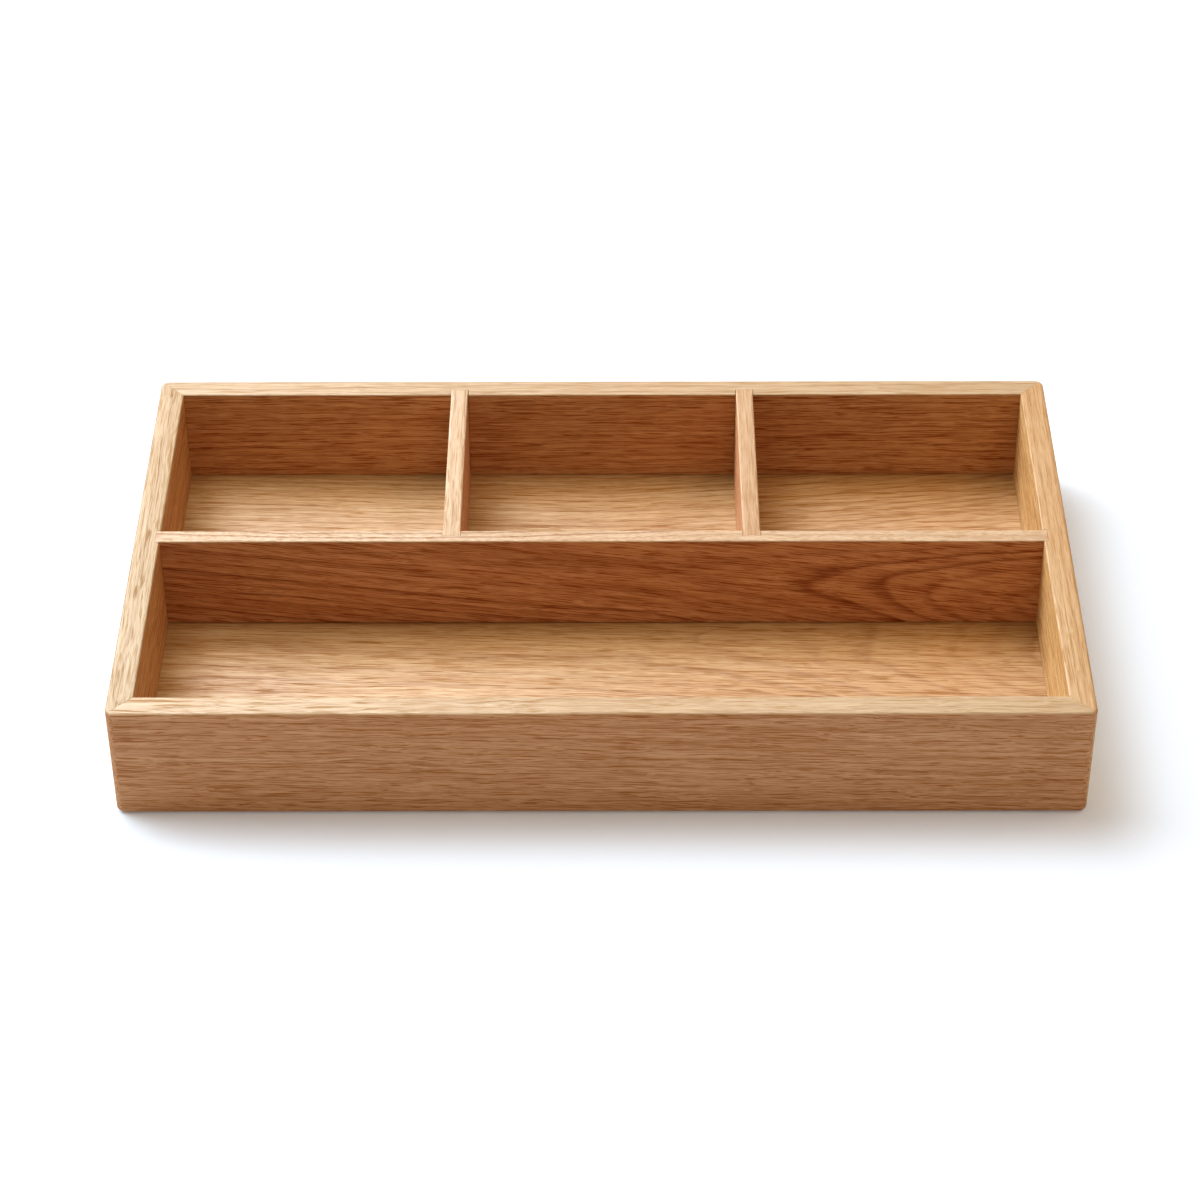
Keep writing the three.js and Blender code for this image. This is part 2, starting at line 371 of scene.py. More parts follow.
# %% Bend round the corners and mitre the ends
spot = add(wall_tree, SPLIT, {0: add(wall_tree, "GeometryNodeInputPosition")}).outputs
run = add(wall_tree, MATH, {0: spot["X"]}, operation="ABSOLUTE")
share = add(wall_tree, MATH, {0: run, 1: reach}, operation="DIVIDE")
past = add(wall_tree, MATH, {0: run, 1: straight}, operation="SUBTRACT")
angle = add(wall_tree, MATH, {0: past, 1: size["Corner radius"]}, operation="DIVIDE")
angle = add(wall_tree, MATH, {0: angle, 1: 0.0}, operation="MAXIMUM")
radius = add(wall_tree, MATH, {0: size["Corner radius"], 1: spot["Y"]}, operation="SUBTRACT")

sine = add(wall_tree, MATH, {0: angle}, operation="SINE")
round_x = add(wall_tree, MATH, {0: run, 1: straight}, operation="MINIMUM")
round_x = add(wall_tree, MATH, {0: radius, 1: sine, 2: round_x}, operation="MULTIPLY_ADD")
cosine = add(wall_tree, MATH, {0: angle}, operation="COSINE")
round_y = add(wall_tree, MATH, {0: radius, 1: cosine}, operation="MULTIPLY")
round_y = add(wall_tree, MATH, {0: size["Corner radius"], 1: round_y}, operation="SUBTRACT")
mitre_x = add(wall_tree, MATH, {0: half, 1: spot["Y"]}, operation="SUBTRACT")
mitre_x = add(wall_tree, MATH, {0: share, 1: mitre_x}, operation="MULTIPLY")

is_outer = add(wall_tree, MATH, {0: radius, 1: 0.0}, operation="GREATER_THAN")
bent_x = add(wall_tree, MIX, {"Factor": is_outer, "A": mitre_x, "B": round_x})
bent_y = add(wall_tree, MIX, {"Factor": is_outer, "A": spot["Y"], "B": round_y})
glue = add(wall_tree, MATH, {0: size["Mitre gap"], 1: share}, operation="MULTIPLY")
bent_x = add(wall_tree, MATH, {0: bent_x, 1: glue}, operation="SUBTRACT")
sign = add(wall_tree, MATH, {0: spot["X"]}, operation="SIGN")
bent_x = add(wall_tree, MATH, {0: bent_x, 1: sign}, operation="MULTIPLY")
bent = add(wall_tree, JOIN, {"X": bent_x, "Y": bent_y, "Z": spot["Z"]})
board = add(wall_tree, SET_PLACE, {"Geometry": strip, "Position": bent})
print(f"bend made of {len(wall_tree.nodes)} nodes so far")

# %% [markdown]
# ## The mitred wall: groove, slots and housings
#
# The joints are cut after the shaping, as they are in the wood: a groove for the base, a slot across
# each mitre for its hidden tongue, and a row of housings that are open at the rim.

# %% Cut the joints
def cut_away(tree, board, cutter):
    """Cuts boxes out of a board."""
    cutter = add(tree, "GeometryNodeRealizeInstances", {"Geometry": cutter})
    return add(tree, "GeometryNodeMeshBoolean", {
        "Mesh 1": board, "Mesh 2": cutter}, operation="DIFFERENCE")


def row_of_boxes(tree, box_size, count, first_place, step, turn=None):
    """Boxes in a row along X."""
    places = add(tree, "GeometryNodeMeshLine", {
        "Count": count, "Start Location": first_place, "Offset": add(tree, JOIN, {"X": step})})
    inputs = {"Points": places, "Instance": add(tree, "GeometryNodeMeshCube", {"Size": box_size})}
    if turn:
        inputs["Rotation"] = turn
    return add(tree, "GeometryNodeInstanceOnPoints", inputs)


groove = add(wall_tree, "GeometryNodeMeshCube", {"Size": size["Groove size"]})
groove = add(wall_tree, "GeometryNodeTransform", {
    "Geometry": groove, "Translation": size["Groove middle"]})
board = cut_away(wall_tree, board, groove)

slot_x = add(wall_tree, MATH, {0: half, 1: size["Slot inset"]}, operation="SUBTRACT")
left_x = add(wall_tree, MATH, {0: slot_x, 1: -1.0}, operation="MULTIPLY")
first_slot = add(wall_tree, JOIN, {"X": left_x, "Y": size["Slot inset"], "Z": size["Slot middle"]})
apart = add(wall_tree, MATH, {0: slot_x, 1: 2.0}, operation="MULTIPLY")
slot_spot = add(wall_tree, SPLIT, {0: add(wall_tree, "GeometryNodeInputPosition")}).outputs
lean = add(wall_tree, MATH, {0: slot_spot["X"]}, operation="SIGN")
lean = add(wall_tree, MATH, {0: lean, 1: EIGHTH_TURN}, operation="MULTIPLY")
lean = add(wall_tree, TURN, {"Axis": (0, 0, 1), "Angle": lean})
slots = row_of_boxes(wall_tree, size["Slot size"], 2, first_slot, apart, lean)
board = cut_away(wall_tree, board, slots)
print("groove and tongue slots cut")

# %% Cut the housings and place the board
def house_and_place(tree, size, board):
    """Cuts the housings, turns the board to its place, and closes the tree."""
    boxes = row_of_boxes(
        tree, size["Housing size"], size["Housings"], size["First housing"], size["Housing spacing"])
    board = cut_away(tree, board, boxes)
    turn = add(tree, TURN, {"Axis": (0, 0, 1), "Angle": size["Turn"]})
    board = add(tree, "GeometryNodeTransform", {
        "Geometry": board, "Translation": size["Middle"], "Rotation": turn})
    board = add(tree, "GeometryNodeRealizeInstances", {"Geometry": board})
    board = add(tree, "GeometryNodeSetMaterial", {"Geometry": board, "Material": size["Oak"]})
    add(tree, "NodeGroupOutput", {"Board": board})


house_and_place(wall_tree, size, board)
print(f"wall tree: {len(wall_tree.nodes)} nodes")

# %% [markdown]
# ## The housed board
#
# The dividers and the base panel are straight strips with eased upper edges. Where an end runs into a
# housing its edge turns sharp again within the width of the round, so that it closes flush with the
# rim that it enters. A bevelled box would keep its round there and leave a notch in that rim. The sweep
# is the same as the wall's, with stations only where the edge changes.

# %% Section and sweep of the housed board
board_tree, size = open_tree("housed board", "GeometryNodeTree", {
    FLOAT: ("Length", "Thickness", "Foot", "Top", "Rim radius", "Foot radius", "Housed end",
            "Housing spacing", "Turn"),
    VECTOR: ("First housing", "Housing size", "Middle"),
    WHOLE: ("Housings",), MATERIAL: ("Oak",)}, {SHAPE: ("Board",)})

depth = add(board_tree, MATH, {0: size["Thickness"], 1: 0.5}, operation="MULTIPLY")
minus_depth = add(board_tree, MATH, {0: size["Thickness"], 1: -0.5}, operation="MULTIPLY")
board_section = rounded_section(
    board_tree,
    [(minus_depth, size["Foot"]), (depth, size["Foot"]),
     (depth, size["Top"]), (minus_depth, size["Top"])],
    [size["Foot radius"], size["Foot radius"], size["Rim radius"], size["Rim radius"]])

end = add(board_tree, MATH, {0: size["Length"], 1: 0.5}, operation="MULTIPLY")
face = add(board_tree, MATH, {0: end, 1: size["Housed end"]}, operation="SUBTRACT")
sharp = add(board_tree, MATH, {0: face, 1: size["Rim radius"]}, operation="ADD")
stations = []
for place in (end, sharp, face):
    stations.append(add(board_tree, MATH, {0: place, 1: -1.0}, operation="MULTIPLY"))
stations += [face, sharp, end]
along = add(board_tree, "GeometryNodeIndexSwitch", {
    "Index": add(board_tree, "GeometryNodeInputIndex")}, data_type="FLOAT")
while len(along.index_switch_items) < len(stations):
    along.index_switch_items.new()
feed(board_tree, along, {str(number): station for number, station in enumerate(stations)})
strip = sweep(board_tree, board_section, len(stations), along)
print(f"{len(stations)} stations along a housed board")

# %% Sharpen the upper edges inside the housings
SHARP = 0.05
TINY = 1e-6

spot = add(board_tree, SPLIT, {0: add(board_tree, "GeometryNodeInputPosition")}).outputs
run = add(board_tree, MATH, {0: spot["X"]}, operation="ABSOLUTE")
ease = add(board_tree, RANGE, {
    "Value": run, "From Min": face, "From Max": sharp, "To Min": 1.0, "To Max": SHARP})
below = add(board_tree, MATH, {0: size["Top"], 1: spot["Z"]}, operation="SUBTRACT")
is_edge = add(board_tree, MATH, {0: below, 1: size["Rim radius"]}, operation="SUBTRACT")
is_edge = add(board_tree, MATH, {0: is_edge, 1: TINY}, operation="LESS_THAN")
ease = add(board_tree, MIX, {"Factor": is_edge, "A": 1.0, "B": ease})
level = add(board_tree, MATH, {0: below, 1: ease}, operation="MULTIPLY")
level = add(board_tree, MATH, {0: size["Top"], 1: level}, operation="SUBTRACT")
width = add(board_tree, MATH, {0: spot["Y"]}, operation="ABSOLUTE")
inset = add(board_tree, MATH, {0: depth, 1: width}, operation="SUBTRACT")
inset = add(board_tree, MATH, {0: inset, 1: ease}, operation="MULTIPLY")
width = add(board_tree, MATH, {0: depth, 1: inset}, operation="SUBTRACT")
sign = add(board_tree, MATH, {0: spot["Y"]}, operation="SIGN")
width = add(board_tree, MATH, {0: width, 1: sign}, operation="MULTIPLY")
eased = add(board_tree, JOIN, {"X": spot["X"], "Y": width, "Z": level})
board = add(board_tree, SET_PLACE, {"Geometry": strip, "Position": eased})
house_and_place(board_tree, size, board)
print(f"board tree: {len(board_tree.nodes)} nodes")

# %% [markdown]
# ## Oak
#
# Oak is ring porous. Each year starts with a band of wide open vessels and ends in dense, smooth wood,
# so a cut along the trunk shows bands of short dark dashes between calmer strips, straight where the
# cut runs through the middle of the trunk and in arches where it only grazes the rings. A wood picture
# would show the same face on every side. Here the trunk itself is drawn in space, in millimetres, with
# its length along X and its heart at Y = Z = 0. A board is then a cut through it, so its grain runs on
# round every edge, and each board comes from another place in the trunk.

# %% Inputs of the trunk, and its noise
oak_tree, wood = open_tree(
    "oak trunk", "ShaderNodeTree",
    {VECTOR: ("Place", "Knot", "Rub and sheen tint"), COLOUR: ("Wood",),
     FLOAT: ("Seed", "Bow", "Wave", "Knot height", "Ring width", "Figure", "Pores", "Shade drift", "Rub and sheen band")},
    {COLOUR: ("Colour",), FLOAT: ("Roughness", "Oil", "Height")})


def clouds(tree, place, sizes, detail=2.0):
    """Soft noise whose spots have the given sizes along the trunk, across it and out of it."""
    scaled = add(tree, VECTOR_MATH, {0: place, 1: [1 / s for s in sizes]}, operation="MULTIPLY")
    return add(tree, "ShaderNodeTexNoise", {"Vector": scaled, "Scale": 1.0, "Detail": detail})


def sway(tree, place, sizes, reach):
    """Moves a place sideways in the trunk by soft noise."""
    shift = clouds(tree, place, sizes).outputs["Color"]
    shift = add(tree, VECTOR_MATH, {0: shift, 1: (0.5, 0.5, 0.5)}, operation="SUBTRACT")
    shift = add(tree, VECTOR_MATH, {0: shift, 1: (0, 2, 2)}, operation="MULTIPLY")
    shift = add(tree, VECTOR_MATH, {0: shift, "Scale": reach}, operation="SCALE")
    return add(tree, VECTOR_MATH, {0: place, 1: shift}, operation="ADD")


print(f"the trunk has {len(oak_tree.interface.items_tree)} inputs and outputs")

# %% The run of the fibres and the rings
FIBRE_WAVES = (42, 9, 9)
HEART_BENDS = (260, 320, 320)
HEART_WANDER = 2.0
FAN = 2.0
KNOT_LENGTH, KNOT_WIDTH = 18.0, 7.0

# Past the board's middle the trunk bows and its fibres fan out, and all along they run in shallow waves
spot = add(oak_tree, SPLIT, {0: wood["Place"]}).outputs
past = add(oak_tree, MATH, {0: spot["X"], 1: 0.0}, operation="MAXIMUM")
slope = add(oak_tree, MATH, {0: past, 1: wood["Bow"]}, operation="MULTIPLY")
fan = add(oak_tree, MATH, {0: slope, 1: -FAN, 2: 1.0}, operation="MULTIPLY_ADD")
fibre = add(oak_tree, JOIN, {
    "X": add(oak_tree, MATH, {0: spot["X"], 1: wood["Seed"]}, operation="ADD"),
    "Y": add(oak_tree, MATH, {0: spot["Y"], 1: fan}, operation="DIVIDE"), "Z": spot["Z"]})
fibre = sway(oak_tree, fibre, FIBRE_WAVES, wood["Wave"])

# The rings follow the bow, rise over a knot, and wander with the heart
bow = add(oak_tree, MATH, {0: slope, 1: past}, operation="MULTIPLY")
knot = add(oak_tree, VECTOR_MATH, {0: wood["Place"], 1: wood["Knot"]}, operation="SUBTRACT")
knot = add(oak_tree, VECTOR_MATH, {0: knot, 1: (1 / KNOT_LENGTH, 1 / KNOT_WIDTH, 0)}, operation="MULTIPLY")
knot = add(oak_tree, VECTOR_MATH, {0: knot}, operation="LENGTH").outputs["Value"]
knot = add(oak_tree, RANGE, {
    "Value": knot, "To Min": wood["Knot height"], "To Max": 0.0}, interpolation_type="SMOOTHSTEP")
lift = add(oak_tree, MATH, {0: bow, 1: knot}, operation="ADD")
trunk = add(oak_tree, VECTOR_MATH, {0: fibre, 1: add(oak_tree, JOIN, {"Z": lift})}, operation="ADD")
trunk = sway(oak_tree, trunk, HEART_BENDS, HEART_WANDER)
print(f"the heart wanders by {HEART_WANDER} mm")

# %% [markdown]
# ## Rings and vessels
#
# The rings are counted outwards from the heart. The first part of each holds the wide vessels, in some
# years more of them than in others. A vessel is a tube, and a cut along it leaves a dark dash. The
# dashes could be scattered one by one, but stretched noise that is cut off at a level gives
# thousands of them at once, and the level says how many there are.

# %% Rings and spring wood
SPRING_SHARE = 0.66
ONSET_SHARE = 0.22
LEAN_YEAR = 0.25

out = add(oak_tree, VECTOR_MATH, {0: trunk, 1: (0, 1, 1)}, operation="MULTIPLY")
out = add(oak_tree, VECTOR_MATH, {0: out}, operation="LENGTH").outputs["Value"]
years = add(oak_tree, MATH, {0: out, 1: wood["Ring width"]}, operation="DIVIDE")
season = add(oak_tree, MATH, {0: years}, operation="FRACT")
year = add(oak_tree, MATH, {0: years}, operation="FLOOR")
year = add(oak_tree, MATH, {0: year, 1: wood["Seed"]}, operation="ADD")
growth = add(oak_tree, "ShaderNodeTexWhiteNoise", {"W": year}, noise_dimensions="1D").outputs["Value"]
growth = add(oak_tree, RANGE, {"Value": growth, "To Min": LEAN_YEAR, "To Max": 1.0})
spring = add(oak_tree, RANGE, {
    "Value": season, "From Min": 0.0, "From Max": SPRING_SHARE, "To Min": 1.0, "To Max": 0.0},
    interpolation_type="SMOOTHSTEP")
onset = add(oak_tree, RANGE, {
    "Value": season, "From Min": 0.0, "From Max": ONSET_SHARE}, interpolation_type="SMOOTHSTEP")
for share in (onset, growth, wood["Figure"]):
    spring = add(oak_tree, MATH, {0: spring, 1: share}, operation="MULTIPLY")
print(f"spring wood fades out after {SPRING_SHARE:.0%} of a ring")

# %% Vessels
# Length and width in mm. Real vessels are 0.2 to 0.3 mm wide, and the wide ones are drawn a little wider
# here so that they show
WIDE_VESSEL = (17.0, 0.36)
FINE_VESSEL = (8.0, 0.25)
FINE_DEPTH = 0.7
VESSEL_EDGE = 0.09


def vessels(tree, place, length, width, summer_level, spring_level):
    """Open pores cut along their length: dark dashes of the given size, denser in spring wood."""
    dashes = clouds(tree, place, (length, width, width), detail=1.5).outputs["Fac"]
    level = add(tree, RANGE, {"Value": spring, "To Min": summer_level, "To Max": spring_level})
    edge = add(tree, MATH, {0: level, 1: VESSEL_EDGE}, operation="ADD")
    return add(tree, RANGE, {
        "Value": dashes, "From Min": level, "From Max": edge}, interpolation_type="SMOOTHSTEP")


wide_vessels = vessels(oak_tree, fibre, *WIDE_VESSEL, summer_level=0.54, spring_level=0.49)
fine_vessels = vessels(oak_tree, fibre, *FINE_VESSEL, summer_level=0.55, spring_level=0.51)
fine_vessels = add(oak_tree, MATH, {0: fine_vessels, 1: FINE_DEPTH}, operation="MULTIPLY")
pores = add(oak_tree, MATH, {0: wide_vessels, 1: fine_vessels}, operation="MAXIMUM")
print(f"vessels up to {WIDE_VESSEL[0]} mm long")

# %% [markdown]
# ## Colour and gloss of the oak
#
# Between the pores the wood runs in pale and dark streaks, and every streak in fine fibres. Some stretches
# are warmer, and so are the bands of spring wood. The rim is rubbed smooth by sandpaper and hands, so its
# pores are nearly closed and its streaks are calm, and its paler tint is painted sheen. Oil fills the
# dense wood to a satin gloss and sinks into the open pores, which stay dull and sunken. One colour with a
# stripe over it would look printed. Here each of these layers tints what lies under it, as it does in the
# wood.

# %% Streaks and fibres
# Sizes in mm along the grain, across it and out of it. Dark wood is also redder: red deepens the least
STREAK_SIZE = (100, 1.7, 1.7)
STREAK_TONES = (0.78, 1.2)
FIBRE_SIZE = (30, 0.26, 0.26)
FIBRE_TONES = (0.84, 1.12)
NOISE_SPAN = (0.3, 0.7)
RIM_CALM = 0.6
DEEPENING = (0.55, 0.97, 1.6)

streaks = clouds(oak_tree, fibre, STREAK_SIZE, detail=3.0).outputs["Fac"]
streaks = add(oak_tree, RANGE, {
    "Value": streaks, "From Min": NOISE_SPAN[0], "From Max": NOISE_SPAN[1],
    "To Min": STREAK_TONES[0], "To Max": STREAK_TONES[1]})
calm = add(oak_tree, MATH, {0: wood["Rub and sheen band"], 1: RIM_CALM}, operation="MULTIPLY")
streaks = add(oak_tree, MIX, {"Factor": calm, "A": streaks, "B": 1.0})
fibres = clouds(oak_tree, fibre, FIBRE_SIZE).outputs["Fac"]
fibre_tone = add(oak_tree, RANGE, {
    "Value": fibres, "From Min": NOISE_SPAN[0], "From Max": NOISE_SPAN[1],
    "To Min": FIBRE_TONES[0], "To Max": FIBRE_TONES[1]})
tone = add(oak_tree, MATH, {0: streaks, 1: fibre_tone}, operation="MULTIPLY")
tone = add(oak_tree, JOIN, {"X": tone, "Y": tone, "Z": tone})
tone = add(oak_tree, VECTOR_MATH, {0: tone, 1: DEEPENING}, operation="POWER")
tone = add(oak_tree, VECTOR_MATH, {0: wood["Wood"], 1: tone}, operation="MULTIPLY")
print(f"streaks {STREAK_SIZE[1]} mm and fibres {FIBRE_SIZE[1]} mm wide")

# %% Tints of the oak
WARM_SIZE = (150, 45, 45)
WARM_SPAN = (0.4, 0.7)
WARM_SHARE = 0.6
WARM_TINT = (0.93, 0.82, 0.66)
SPRING_TINT = (0.60, 0.43, 0.28)
PORE_TINT = (0.50, 0.29, 0.13)
RIM_PORES = 0.28

# Painted shade: a board grows warmer and darker towards one end by its shade drift per mm, as sheen fades
warm = clouds(oak_tree, fibre, WARM_SIZE).outputs["Fac"]
warm = add(oak_tree, RANGE, {
    "Value": warm, "From Min": WARM_SPAN[0], "From Max": WARM_SPAN[1], "To Min": 0.0, "To Max": WARM_SHARE})
warm = add(oak_tree, MATH, {
    0: spot["X"], 1: wood["Shade drift"], 2: warm}, operation="MULTIPLY_ADD", use_clamp=True)
depth = add(oak_tree, RANGE, {"Value": wood["Rub and sheen band"], "To Min": wood["Pores"], "To Max": RIM_PORES})
depth = add(oak_tree, MATH, {0: pores, 1: depth}, operation="MULTIPLY")
colour = tone
# The rim's tint is painted sheen, paler than the wood; the right rims get a darker one, painted shade where
# the sheen fades
for share, tint in (
        (warm, WARM_TINT), (wood["Rub and sheen band"], wood["Rub and sheen tint"]), (spring, SPRING_TINT), (depth, PORE_TINT)):
    tinted = add(oak_tree, VECTOR_MATH, {0: colour, 1: tint}, operation="MULTIPLY")
    colour = add(oak_tree, MIX, {"Factor": share, "A": colour, "B": tinted}, data_type="RGBA")
print("tints of warm wood, rubbed rim, spring wood and pores")

# %% Gloss and relief of the oak
SATIN, DULL = 0.58, 0.8
OIL_IN_PORES = 0.2
FIBRE_RELIEF = 0.3

roughness = add(oak_tree, RANGE, {"Value": pores, "To Min": SATIN, "To Max": DULL})
oil = add(oak_tree, RANGE, {"Value": pores, "To Min": 1.0, "To Max": OIL_IN_PORES})
oil = add(oak_tree, MATH, {0: oil, 1: streaks}, operation="MULTIPLY")
height = add(oak_tree, MATH, {0: fibres, 1: FIBRE_RELIEF, 2: 1.0}, operation="MULTIPLY_ADD")
height = add(oak_tree, MATH, {0: height, 1: pores}, operation="SUBTRACT")
add(oak_tree, "NodeGroupOutput", {"Colour": colour, "Roughness": roughness, "Oil": oil, "Height": height})
print(f"oak trunk: {len(oak_tree.nodes)} nodes")

# %% [markdown]
# ## A board out of the trunk
#
# Each board has its own material, because a joiner picks each one. Most of what differs is where it was
# sawn: the direction of its grain, how far the heart lies behind its face and below its middle, how the
# trunk leans and bows along it, and whether a knot lies near. The rest is its colour, how open its
# pores are, how well it takes the oil, and how its rim was rubbed. Part of the colour is painted light:
# the right wall is paler for the light that falls on its inner face, each rim's tint is a painted sheen,
# darker on the right, and a drift darkens some boards towards one end as painted shade.
# One material for all would be shorter, but then the grain would run on from board to board.

# %% Saw a board
PORE_DEPTH = 0.01 * MM
PORE_RELIEF = 0.6
RUB_DEPTH = 0.8 * MM
# Painted sheen: the rubbed band at the rim is tinted paler and less red, in place of the gloss that rims
# catch
RUB_AND_SHEEN_TINT = (0.73, 0.99, 1.38)


def oiled_oak(board_name, hue, grain, across, middle, heart, seed,
              tilt=0.0, bow=0.0, wave=1.2, ring=2.2, figure=0.45, knot=(0.0, 0.0), knot_height=0.0,
              pores=0.8, shade_drift=0.0, shine=0.46, rub_and_sheen_tint=RUB_AND_SHEEN_TINT):
    """Oiled oak, planed and sanded fine: a warm satin brown with dull open pores that catch the light.

    heart is where the board's middle lies from the trunk's heart, in millimetres across and out.
    """
    grain, across = Vector(grain), Vector(across)
    sawn = Matrix((grain, across, grain.cross(across)))
    sawn = Matrix.Rotation(tilt, 3, "Z") @ sawn
    offset = Vector((0, *heart)) - sawn @ (middle / MM)
    knot_place = (knot[0], knot[1] + heart[0], 0.0)

    material = bpy.data.materials.new(f"oiled oak {board_name}")
    material.use_nodes = True
    tree = material.node_tree
    tree.nodes.clear()
    spot = add(tree, "ShaderNodeTexCoord").outputs["Object"]
    place = add(tree, "ShaderNodeMapping", {
        "Vector": spot, "Location": offset, "Rotation": sawn.to_euler(), "Scale": [1 / MM] * 3})
    level = add(tree, SPLIT, {0: spot}).outputs["Z"]
    # The top band of a board: rubbing closes its pores and calms its streaks, and its tint there is painted
    # sheen
    rubbed = add(tree, RANGE, {
        "Value": level, "From Min": HEIGHT - RUB_DEPTH, "From Max": HEIGHT - RUB_DEPTH / 4})
    trunk = add(tree, "ShaderNodeGroup", node_tree=oak_tree)
    feed(tree, trunk, {
        "Place": place, "Seed": seed, "Bow": bow, "Wave": wave, "Ring width": ring, "Figure": figure,
        "Knot": knot_place, "Knot height": knot_height, "Pores": pores, "Shade drift": shade_drift,
        "Rub and sheen band": rubbed, "Wood": linear(hue), "Rub and sheen tint": rub_and_sheen_tint})
    relief = add(tree, "ShaderNodeBump", {
        "Strength": PORE_RELIEF, "Distance": PORE_DEPTH, "Height": trunk.outputs["Height"]})
    gloss = add(tree, MATH, {0: trunk.outputs["Oil"], 1: shine}, operation="MULTIPLY")
    surface = add(tree, "ShaderNodeBsdfPrincipled", {
        "Base Color": trunk.outputs["Colour"], "Roughness": trunk.outputs["Roughness"],
        "Specular IOR Level": gloss, "Normal": relief})
    add(tree, "ShaderNodeOutputMaterial", {"Surface": surface})
    return material


print(f"rims are rubbed {RUB_DEPTH / MM} mm deep")

# %% Pick the eight boards
# Painted light: the right wall's oak is paler than the others, for the light from the left on its inner
# face
FRONT_OAK, BACK_OAK, LEFT_OAK, RIGHT_OAK_PAINTED_LIGHT = "#c89462", "#ca9b69", "#c29560", "#cdab6e"
DIVIDER_OAK, BASE_OAK = "#cb996e", "#b89763"
# Painted sheen: each rim's tint makes the top band of its board paler
FRONT_RUB_AND_SHEEN = (0.74, 1.08, 1.41)
BACK_RUB_AND_SHEEN = (0.71, 0.95, 1.20)
# Painted shade: the right wall's and the right divider's rims are tinted darker, where the sheen fades to
# the right
RIGHT_RUB_AND_SHADE = (0.75, 0.74, 0.83)
DIVIDER_RUB_AND_SHEEN = (0.79, 1.10, 1.34)
RIGHT_DIVIDER_RUB_AND_SHADE = (0.71, 0.86, 0.84)
ALONG, BACK, UP = (1, 0, 0), (0, 1, 0), (0, 0, 1)

front_middle, back_middle = (Vector((0, y, HEIGHT / 2)) for y in (-WIDTH / 2, WIDTH / 2))
left_middle, right_middle = (Vector((x, 0, HEIGHT / 2)) for x in (-LENGTH / 2, LENGTH / 2))
other_middle = Vector((-short_middle.x, short_middle.y, short_middle.z))
# Each shade drift is painted shade: it darkens a board towards one end, where the sheen fades across the
# tray
oak = {
    "front_wall": oiled_oak(
        "front wall", FRONT_OAK, ALONG, UP, front_middle, (40, 46), 100, tilt=0.02, wave=1.8,
        pores=0.7, rub_and_sheen_tint=FRONT_RUB_AND_SHEEN),
    "back_wall": oiled_oak(
        "back wall", BACK_OAK, ALONG, UP, back_middle, (45, 40), 900, tilt=0.005, ring=2.0, figure=0.6,
        pores=0.95, rub_and_sheen_tint=BACK_RUB_AND_SHEEN),
    "left_wall": oiled_oak(
        "left wall", LEFT_OAK, BACK, UP, left_middle, (52, 30), 1717, shade_drift=0.003, shine=0.33),
    "right_wall": oiled_oak(
        "right wall", RIGHT_OAK_PAINTED_LIGHT, BACK, UP, right_middle, (-36, 50), 2500, ring=2.4,
        shade_drift=0.006, rub_and_sheen_tint=RIGHT_RUB_AND_SHADE),
    "long_divider": oiled_oak(
        "long divider", DIVIDER_OAK, ALONG, UP, long_middle, (-9.5, 22.85), 3558, tilt=0.12,
        bow=-0.0006, ring=2.5, figure=1.3, pores=0.9, shade_drift=0.002, rub_and_sheen_tint=DIVIDER_RUB_AND_SHEEN),
    "left_short_divider": oiled_oak(
        "left divider", DIVIDER_OAK, BACK, UP, short_middle, (45, 40), 4100, ring=2.0,
        rub_and_sheen_tint=DIVIDER_RUB_AND_SHEEN),
    "right_short_divider": oiled_oak(
        "right divider", DIVIDER_OAK, BACK, UP, other_middle, (-48, 38), 4900, ring=2.3,
        rub_and_sheen_tint=RIGHT_DIVIDER_RUB_AND_SHADE),
    "base_panel": oiled_oak(
        "base panel", BASE_OAK, ALONG, BACK, panel_middle, (10, 68.1), 5700, tilt=0.03, bow=-0.0006,
        wave=1.0, figure=0.6, knot=(46, -10), knot_height=-2.0, pores=0.6, shade_drift=0.007, shine=0.5),
}
print(f"{len(oak)} boards sawn")

# %% [markdown]
# ## Making the boards
#
# A tree runs on an empty object with the board's sizes set on its inputs. The result is kept as a plain
# mesh, so the finished piece has no modifier left. Flat faces stay flat and only the rounds are
# shaded smooth, which keeps the planed faces true up to their edges.

# %% Run a tree
FLAT = 0.9999
ROUND_ANGLE = math.radians(25)


def make_board(node, tree, sizes):
    """Runs a tree with the given sizes, and puts the board that it makes in its node's place."""
    piece = bpy.data.objects.new(f"{node}_board", bpy.data.meshes.new(node))
    scene.collection.objects.link(piece)
    modifier = piece.modifiers.new("board", "NODES")
    modifier.node_group = tree
    sizes = {**sizes, "Oak": oak[node]}
    for socket in tree.interface.items_tree:
        if socket.in_out == "INPUT":
            modifier[socket.identifier] = sizes[socket.name]
    evaluated = piece.evaluated_get(bpy.context.evaluated_depsgraph_get())
    mesh = bpy.data.meshes.new_from_object(evaluated)
    piece.modifiers.clear()
    piece.data = mesh
    for face in mesh.polygons:
        face.use_smooth = max(abs(part) for part in face.normal) < FLAT
    mesh.set_sharp_from_angle(angle=ROUND_ANGLE)
    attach(piece, "root")
    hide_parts(node)
    print(f"{piece.name}: {len(mesh.vertices)} points, {len(mesh.polygons)} faces")


print(f"edges over {math.degrees(ROUND_ANGLE):.0f} degrees stay sharp")

# %% [markdown]
# ## Walls
#
# The joints' sizes follow the frame. The gaps are as thin as good joinery leaves them, so that a joint
# shows as a change of grain with a hairline in it. Only along the base does a dark seam stay open. The
# walls could be copies of one, but the housings differ, so the tree runs once for each.

